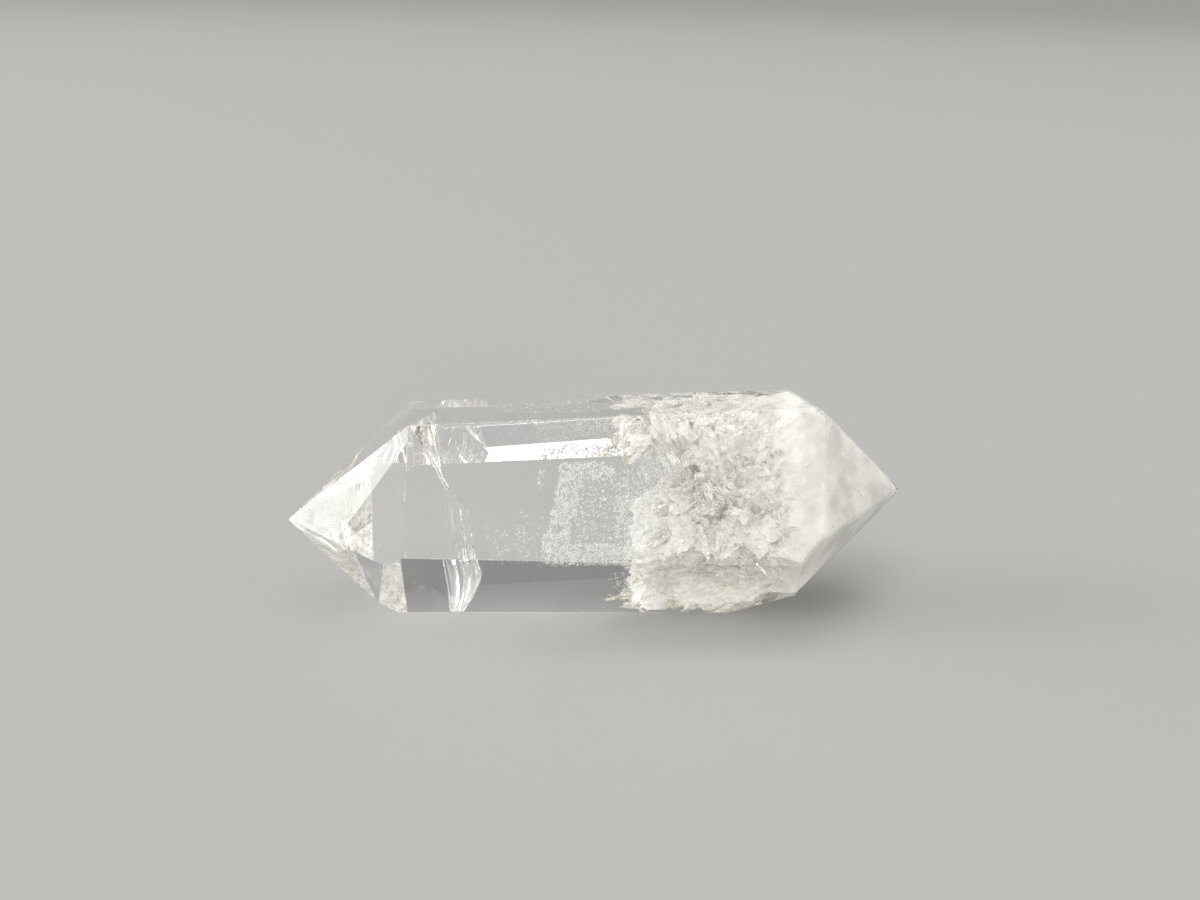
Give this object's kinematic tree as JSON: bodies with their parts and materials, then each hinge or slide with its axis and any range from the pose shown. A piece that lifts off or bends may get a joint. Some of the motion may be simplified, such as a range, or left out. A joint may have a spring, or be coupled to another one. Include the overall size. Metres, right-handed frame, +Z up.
{
  "type": "double terminated quartz crystal",
  "caption": "Clear rock crystal lying on one long face: a six-sided prism with a six-sided point at each end, flat polished faces, and white fractures and cloud inside.",
  "frame": {"origin": "middle of the crystal's length and width, in the plane of the face it rests on", "axes": "+X along the crystal towards its right-hand tip, +Y away from the side the picture shows, +Z up"},
  "size_m": [0.07, 0.0212, 0.0236],
  "materials": {
    "quartz": "polished, clear, with white fractures inside"
  },
  "bodies": {
    "root": {"quartz_crystal": "quartz"}
  },
  "joints": []
}
